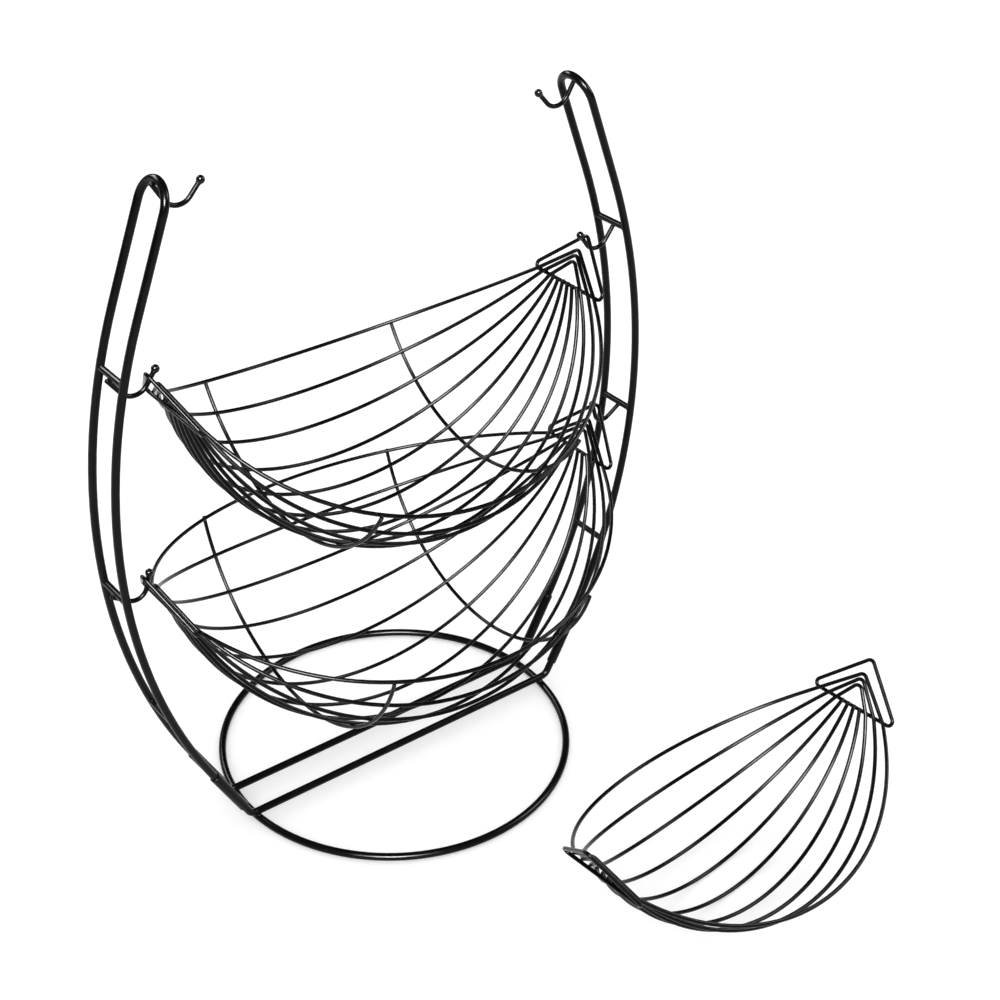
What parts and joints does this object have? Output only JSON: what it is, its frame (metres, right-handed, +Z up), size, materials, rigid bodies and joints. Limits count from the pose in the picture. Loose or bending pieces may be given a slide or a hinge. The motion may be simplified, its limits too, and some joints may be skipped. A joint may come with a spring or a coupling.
{
  "type": "tiered wire basket",
  "caption": "Freestanding tiered wire basket stand: ring base, bowed hairpin arms with hooks, hammock-shaped wire baskets hung between them and a spare basket set down alongside.",
  "frame": {"origin": "centre of the base ring, on the floor under it", "axes": "+Z up, +X from the left arm to the right arm along the baskets, -Y to the front where the loose basket lies"},
  "size_m": [0.5, 0.5291, 0.539],
  "materials": {
    "black_paint": "satin-gloss black paint on steel wire and rod"
  },
  "bodies": {
    "stand": {"arm_left": "black_paint", "arm_right": "black_paint", "base_bar_front": "black_paint", "base_bar_rear": "black_paint", "base_ring": "black_paint", "brace_left": "black_paint", "brace_right": "black_paint", "crossbar_left_lower": "black_paint", "crossbar_left_middle": "black_paint", "crossbar_right_lower": "black_paint", "crossbar_right_middle": "black_paint", "hook_balls_left": "black_paint", "hook_balls_right": "black_paint", "hook_left_lower": "black_paint", "hook_left_middle": "black_paint", "hook_left_top": "black_paint", "hook_right_lower": "black_paint", "hook_right_middle": "black_paint", "hook_right_top": "black_paint", "sleeve_left_front": "black_paint", "sleeve_left_rear": "black_paint", "sleeve_right_front": "black_paint", "sleeve_right_rear": "black_paint"},
    "upper_basket": {"upper_hanger_left": "black_paint", "upper_hanger_right": "black_paint", "upper_hoop_left": "black_paint", "upper_hoop_right": "black_paint", "upper_rib_1": "black_paint", "upper_rib_2": "black_paint", "upper_rib_3": "black_paint", "upper_rib_4": "black_paint", "upper_rib_5": "black_paint", "upper_rib_6": "black_paint", "upper_rim_loop": "black_paint", "upper_second_loop": "black_paint", "upper_third_loop": "black_paint"},
    "lower_basket": {"lower_hanger_left": "black_paint", "lower_hanger_right": "black_paint", "lower_hoop_left": "black_paint", "lower_hoop_right": "black_paint", "lower_rib_1": "black_paint", "lower_rib_2": "black_paint", "lower_rib_3": "black_paint", "lower_rib_4": "black_paint", "lower_rib_5": "black_paint", "lower_rib_6": "black_paint", "lower_rim_loop": "black_paint", "lower_second_loop": "black_paint", "lower_third_loop": "black_paint"},
    "top_basket": {"top_hanger_left": "black_paint", "top_hanger_right": "black_paint", "top_rib_1": "black_paint", "top_rib_2": "black_paint", "top_rib_3": "black_paint", "top_rib_4": "black_paint", "top_rim_loop": "black_paint", "top_second_loop": "black_paint", "top_third_loop": "black_paint"}
  },
  "joints": [
    {"name": "upper_swing", "type": "hinge", "parent": "stand", "child": "upper_basket", "pos_m": [0, 0, 0.40064], "axis": [1, 0, 0], "range_deg": [-30, 30]},
    {"name": "lower_swing", "type": "hinge", "parent": "stand", "child": "lower_basket", "pos_m": [0, 0, 0.2444], "axis": [1, 0, 0], "range_deg": [-30, 30]},
    {"name": "top_lift", "type": "slide", "parent": "stand", "child": "top_basket", "axis": [0, 0, 1], "range_m": [0, 0.2]}
  ]
}
